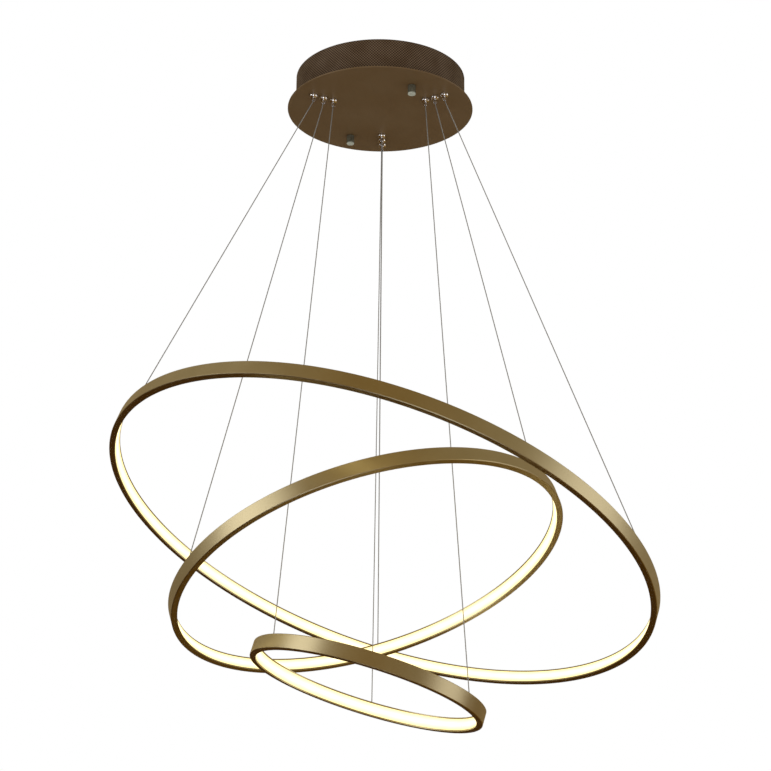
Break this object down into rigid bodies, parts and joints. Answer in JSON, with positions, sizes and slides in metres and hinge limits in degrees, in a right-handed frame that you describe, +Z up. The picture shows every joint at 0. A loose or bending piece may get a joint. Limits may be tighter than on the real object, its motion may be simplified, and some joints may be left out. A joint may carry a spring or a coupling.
{
  "type": "led ring chandelier",
  "caption": "Ceiling lamp with tilted light rings of falling size, hung one below another on thin cables from a round canopy.",
  "frame": {"origin": "on the ceiling, at the centre of the ceiling screws and of the round canopy", "axes": "+Z up, out of the canopy into the ceiling; the viewer of the picture stands on the -Y side"},
  "size_m": [0.7692, 0.779, 0.9686],
  "materials": {
    "canopy_paint": "satin bronze-brown paint",
    "drum_paint": "dark bronze paint on finely embossed sheet",
    "ring_gold": "satin antique-gold finish",
    "ring_gold_steel": "satin antique-gold finish",
    "diffuser": "opal, lit from behind",
    "led_strip": "white flexible circuit with small light chips",
    "bare_aluminium": "mill finish",
    "chrome": "polished",
    "satin_nickel": "satin, turned",
    "zinc_steel": "zinc plated",
    "cable_steel": "fine stranded wire rope under a thin clear sheath",
    "brass": "plain",
    "white_plastic": "fine textured",
    "terminal_plastic": "translucent natural",
    "lead_sheath": "smooth"
  },
  "bodies": {
    "canopy": {"ceiling_bracket": "zinc_steel", "bracket_studs": "zinc_steel", "stud_lock_nuts": "zinc_steel", "earth_screw": "brass", "canopy_disc": "canopy_paint", "canopy_drum": "drum_paint", "drum_nuts": "zinc_steel", "driver_case": "white_plastic", "driver_lid": "white_plastic", "driver_lid_screws": "zinc_steel", "driver_nuts": "zinc_steel", "terminal_block": "terminal_plastic", "terminal_screws": "brass", "terminal_nuts": "zinc_steel", "supply_leads": "lead_sheath", "driver_leads": "lead_sheath", "gripper_bodies": "chrome", "gripper_lock_nuts": "brass", "gripper_caps": "chrome", "cable_crimps": "brass", "cable_large_left": "cable_steel", "cable_large_right": "cable_steel", "cable_large_far": "cable_steel", "cable_middle_left": "cable_steel", "cable_middle_right": "cable_steel", "cable_middle_far": "cable_steel", "cable_small_left": "cable_steel", "cable_small_right": "cable_steel", "cable_small_far": "cable_steel"},
    "large_ring": {"large_ring_frame": "ring_gold", "large_ring_diffuser": "diffuser", "large_ring_led_strip": "led_strip", "large_ring_splice_plate": "bare_aluminium", "large_ring_splice_screws": "ring_gold_steel", "large_ring_cable_stops": "brass"},
    "middle_ring": {"middle_ring_frame": "ring_gold", "middle_ring_diffuser": "diffuser", "middle_ring_led_strip": "led_strip", "middle_ring_splice_plate": "bare_aluminium", "middle_ring_splice_screws": "ring_gold_steel", "middle_ring_cable_stops": "brass"},
    "small_ring": {"small_ring_frame": "ring_gold", "small_ring_diffuser": "diffuser", "small_ring_led_strip": "led_strip", "small_ring_splice_plate": "bare_aluminium", "small_ring_splice_screws": "ring_gold_steel", "small_ring_cable_stops": "brass"},
    "release_plunger_large_left": {"release_plunger_large_left": "chrome"},
    "release_plunger_large_right": {"release_plunger_large_right": "chrome"},
    "release_plunger_large_far": {"release_plunger_large_far": "chrome"},
    "release_plunger_middle_left": {"release_plunger_middle_left": "chrome"},
    "release_plunger_middle_right": {"release_plunger_middle_right": "chrome"},
    "release_plunger_middle_far": {"release_plunger_middle_far": "chrome"},
    "release_plunger_small_left": {"release_plunger_small_left": "chrome"},
    "release_plunger_small_right": {"release_plunger_small_right": "chrome"},
    "release_plunger_small_far": {"release_plunger_small_far": "chrome"},
    "thumb_nut_near": {"thumb_nut_near": "satin_nickel"},
    "thumb_nut_far": {"thumb_nut_far": "satin_nickel"}
  },
  "joints": [
    {"name": "large_ring_height", "type": "slide", "parent": "canopy", "child": "large_ring", "axis": [0, 0, 1], "range_m": [0, 0.35], "deforming": ["cable_large_left", "cable_large_right", "cable_large_far"]},
    {"name": "middle_ring_height", "type": "slide", "parent": "canopy", "child": "middle_ring", "axis": [0, 0, 1], "range_m": [0, 0.2], "deforming": ["cable_middle_left", "cable_middle_right", "cable_middle_far"]},
    {"name": "small_ring_height", "type": "slide", "parent": "canopy", "child": "small_ring", "axis": [0, 0, 1], "range_m": [0, 0.45], "deforming": ["cable_small_left", "cable_small_right", "cable_small_far"]},
    {"name": "release_large_left", "type": "slide", "parent": "canopy", "child": "release_plunger_large_left", "axis": [0, 0, 1], "range_m": [0, 0.002], "stiffness_N_per_m": 300, "springref_m": -0.002},
    {"name": "release_large_right", "type": "slide", "parent": "canopy", "child": "release_plunger_large_right", "axis": [0, 0, 1], "range_m": [0, 0.002], "stiffness_N_per_m": 300, "springref_m": -0.002},
    {"name": "release_large_far", "type": "slide", "parent": "canopy", "child": "release_plunger_large_far", "axis": [0, 0, 1], "range_m": [0, 0.002], "stiffness_N_per_m": 300, "springref_m": -0.002},
    {"name": "release_middle_left", "type": "slide", "parent": "canopy", "child": "release_plunger_middle_left", "axis": [0, 0, 1], "range_m": [0, 0.002], "stiffness_N_per_m": 300, "springref_m": -0.002},
    {"name": "release_middle_right", "type": "slide", "parent": "canopy", "child": "release_plunger_middle_right", "axis": [0, 0, 1], "range_m": [0, 0.002], "stiffness_N_per_m": 300, "springref_m": -0.002},
    {"name": "release_middle_far", "type": "slide", "parent": "canopy", "child": "release_plunger_middle_far", "axis": [0, 0, 1], "range_m": [0, 0.002], "stiffness_N_per_m": 300, "springref_m": -0.002},
    {"name": "release_small_left", "type": "slide", "parent": "canopy", "child": "release_plunger_small_left", "axis": [0, 0, 1], "range_m": [0, 0.002], "stiffness_N_per_m": 300, "springref_m": -0.002},
    {"name": "release_small_right", "type": "slide", "parent": "canopy", "child": "release_plunger_small_right", "axis": [0, 0, 1], "range_m": [0, 0.002], "stiffness_N_per_m": 300, "springref_m": -0.002},
    {"name": "release_small_far", "type": "slide", "parent": "canopy", "child": "release_plunger_small_far", "axis": [0, 0, 1], "range_m": [0, 0.002], "stiffness_N_per_m": 300, "springref_m": -0.002},
    {"name": "thumb_nut_near_turn", "type": "hinge", "parent": "canopy", "child": "thumb_nut_near", "pos_m": [0.04864, -0.0816, -0.059], "axis": [0, 0, 1], "continuous": true},
    {"name": "thumb_nut_far_turn", "type": "hinge", "parent": "canopy", "child": "thumb_nut_far", "pos_m": [-0.04864, 0.0816, -0.059], "axis": [0, 0, 1], "continuous": true}
  ]
}
